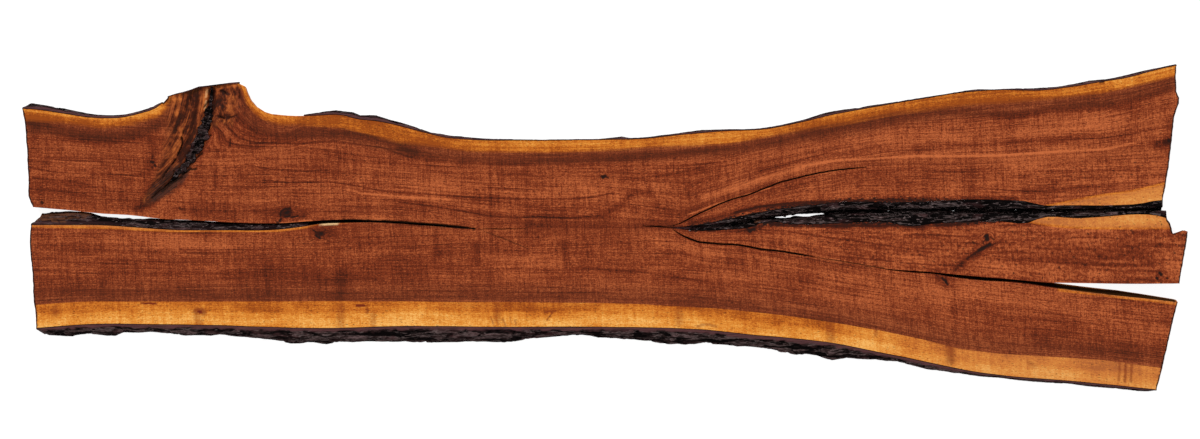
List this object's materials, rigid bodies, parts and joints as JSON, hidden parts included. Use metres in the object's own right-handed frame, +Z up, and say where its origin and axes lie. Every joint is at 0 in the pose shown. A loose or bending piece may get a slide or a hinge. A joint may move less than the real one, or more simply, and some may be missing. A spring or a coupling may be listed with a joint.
{
  "type": "walnut wood slab",
  "caption": "Live-edge walnut slab lying flat, with bark on its edges, a long split, a bark-lined fork, a narrow gap and a torn branch stub.",
  "frame": {"origin": "middle of the flat underside", "axes": "+X along the slab towards its forked end, +Y across it towards the edge with the branch stub, +Z up from the underside to the sawn top face"},
  "size_m": [2.9149, 0.8212, 0.055],
  "materials": {
    "wood": "sawn and lightly oiled walnut, reddish brown heartwood with golden sapwood along the edges",
    "bark": "rough, matt, near-black furrowed bark"
  },
  "bodies": {
    "root": {"wood_slab": "wood", "bark_front_edge": "bark", "bark_back_left": "bark", "bark_stub_tip": "bark", "bark_back_right": "bark", "bark_left_split": "bark", "bark_fork_back": "bark", "bark_fork_front": "bark", "bark_inclusion": "bark"}
  },
  "joints": []
}
